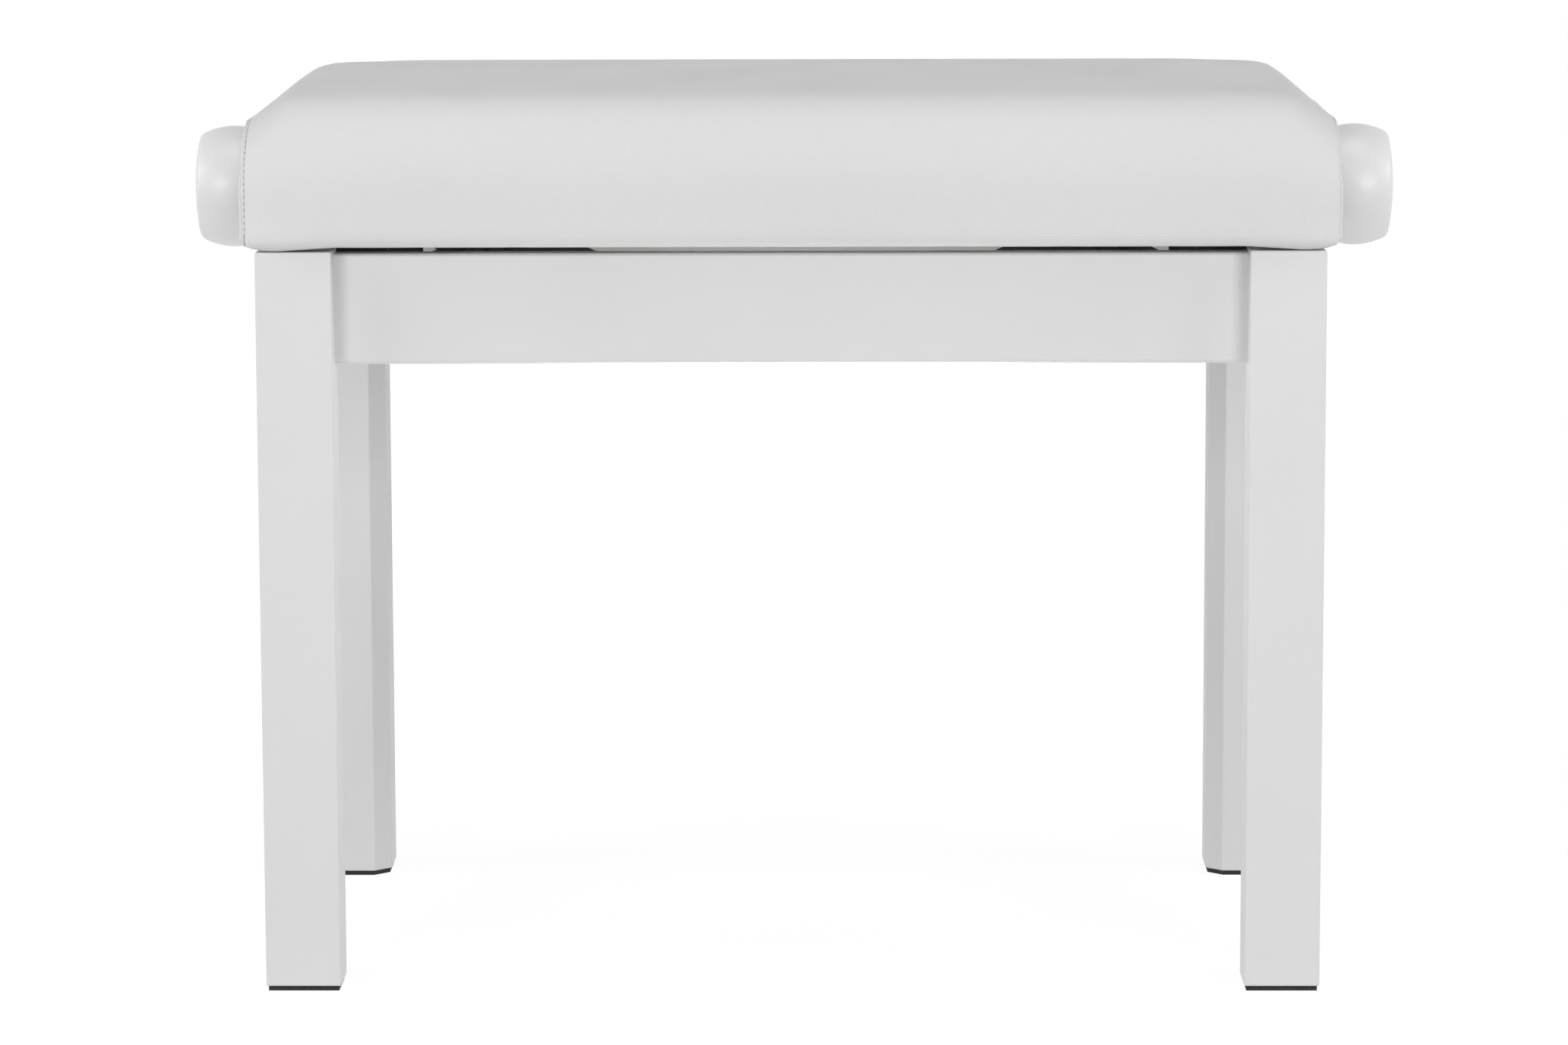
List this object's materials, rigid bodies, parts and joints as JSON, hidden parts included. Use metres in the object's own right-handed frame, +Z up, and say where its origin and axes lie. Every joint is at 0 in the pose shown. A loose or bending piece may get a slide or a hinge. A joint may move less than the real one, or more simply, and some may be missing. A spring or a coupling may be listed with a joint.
{
  "type": "piano bench",
  "caption": "White height-adjustable bench for one player: padded seat on square legs, raised by a screw and scissor lift turned with a round knob at each end.",
  "frame": {"origin": "on the floor under the middle of the bench", "axes": "+X along the seat to the player's right knob, +Y from the front to the back, +Z up"},
  "size_m": [0.644, 0.349, 0.471],
  "materials": {
    "white_lacquer": "satin white lacquer",
    "white_leatherette": "soft white leatherette",
    "black_pad": "matte",
    "raw_wood": "planed softwood",
    "plywood": "sanded plywood",
    "foam": "open foam",
    "black_steel": "black paint",
    "zinc_steel": "zinc plated",
    "brass": "machined"
  },
  "bodies": {
    "base": {"leg_front_left": "white_lacquer", "leg_front_right": "white_lacquer", "leg_back_left": "white_lacquer", "leg_back_right": "white_lacquer", "foot_pad_front_left": "black_pad", "foot_pad_front_right": "black_pad", "foot_pad_back_left": "black_pad", "foot_pad_back_right": "black_pad", "rail_front": "white_lacquer", "rail_back": "white_lacquer", "rail_left": "white_lacquer", "rail_right": "white_lacquer", "corner_block_front_left": "raw_wood", "corner_block_front_right": "raw_wood", "corner_block_back_left": "raw_wood", "corner_block_back_right": "raw_wood", "leg_bolts": "zinc_steel", "leg_bolt_washers": "zinc_steel", "leg_bolt_nuts": "zinc_steel", "lower_track_front": "black_steel", "lower_track_back": "black_steel", "pivot_brackets_left": "black_steel", "pivot_brackets_right": "black_steel", "bracket_screws": "zinc_steel"},
    "seat": {"seat_board": "plywood", "seat_slat_front": "raw_wood", "seat_slat_back": "raw_wood", "seat_slat_left": "raw_wood", "seat_slat_right": "raw_wood", "seat_foam": "foam", "seat_wadding": "foam", "seat_cover": "white_leatherette", "board_screws": "zinc_steel", "upper_track_front": "black_steel", "upper_track_back": "black_steel", "track_screws": "zinc_steel", "upper_pivot_pins": "zinc_steel", "spindle_bushes": "brass"},
    "spindle": {"spindle": "zinc_steel", "spindle_collars": "zinc_steel", "knob_left": "white_lacquer", "knob_right": "white_lacquer", "knob_inserts": "brass"},
    "lift_arms_left": {"lift_arm_front_left": "black_steel", "lift_arm_back_left": "black_steel", "pivot_shaft_left": "zinc_steel", "scissor_rivets_left": "zinc_steel"},
    "brace_arms_left": {"brace_arm_front_left": "black_steel", "brace_arm_back_left": "black_steel", "slide_bar_left": "zinc_steel"},
    "nut_left": {"nut_bar_left": "black_steel"},
    "lift_arms_right": {"lift_arm_front_right": "black_steel", "lift_arm_back_right": "black_steel", "pivot_shaft_right": "zinc_steel", "scissor_rivets_right": "zinc_steel"},
    "brace_arms_right": {"brace_arm_front_right": "black_steel", "brace_arm_back_right": "black_steel", "slide_bar_right": "zinc_steel"},
    "nut_right": {"nut_bar_right": "black_steel"}
  },
  "joints": [
    {"name": "seat_lift", "type": "hinge", "parent": "base", "child": "lift_arms_left", "pos_m": [-0.226, 0, 0.342], "axis": [0, -1, 0], "range_deg": [0, 43.9]},
    {"name": "brace_left_turn", "type": "hinge", "parent": "lift_arms_left", "child": "brace_arms_left", "pos_m": [-0.15541, 0, 0.374], "axis": [0, 1, 0], "range_deg": [0, 87.8]},
    {"name": "seat_pivot", "type": "hinge", "parent": "brace_arms_left", "child": "seat", "pos_m": [-0.226, 0, 0.406], "axis": [0, -1, 0], "range_deg": [0, 43.9]},
    {"name": "nut_left_turn", "type": "hinge", "parent": "lift_arms_left", "child": "nut_left", "pos_m": [-0.08483, 0, 0.406], "axis": [0, 1, 0], "range_deg": [0, 43.9]},
    {"name": "lift_right_turn", "type": "hinge", "parent": "base", "child": "lift_arms_right", "pos_m": [0.226, 0, 0.342], "axis": [0, 1, 0], "range_deg": [0, 43.9]},
    {"name": "brace_right_turn", "type": "hinge", "parent": "lift_arms_right", "child": "brace_arms_right", "pos_m": [0.15541, 0, 0.374], "axis": [0, -1, 0], "range_deg": [0, 87.8]},
    {"name": "nut_right_turn", "type": "hinge", "parent": "lift_arms_right", "child": "nut_right", "pos_m": [0.08483, 0, 0.406], "axis": [0, -1, 0], "range_deg": [0, 43.9]},
    {"name": "knob_turn", "type": "hinge", "parent": "seat", "child": "spindle", "pos_m": [0, 0, 0.406], "axis": [1, 0, 0], "range_deg": [0, 3774]}
  ],
  "couplings": [
    {"joint": "brace_left_turn", "follows": "seat_lift", "ratio": 2},
    {"joint": "seat_pivot", "follows": "seat_lift", "ratio": 1},
    {"joint": "nut_left_turn", "follows": "seat_lift", "ratio": 1},
    {"joint": "lift_right_turn", "follows": "seat_lift", "ratio": 1},
    {"joint": "brace_right_turn", "follows": "seat_lift", "ratio": 2},
    {"joint": "nut_right_turn", "follows": "seat_lift", "ratio": 1},
    {"joint": "knob_turn", "follows": "seat_lift", "ratio": 85.926}
  ]
}
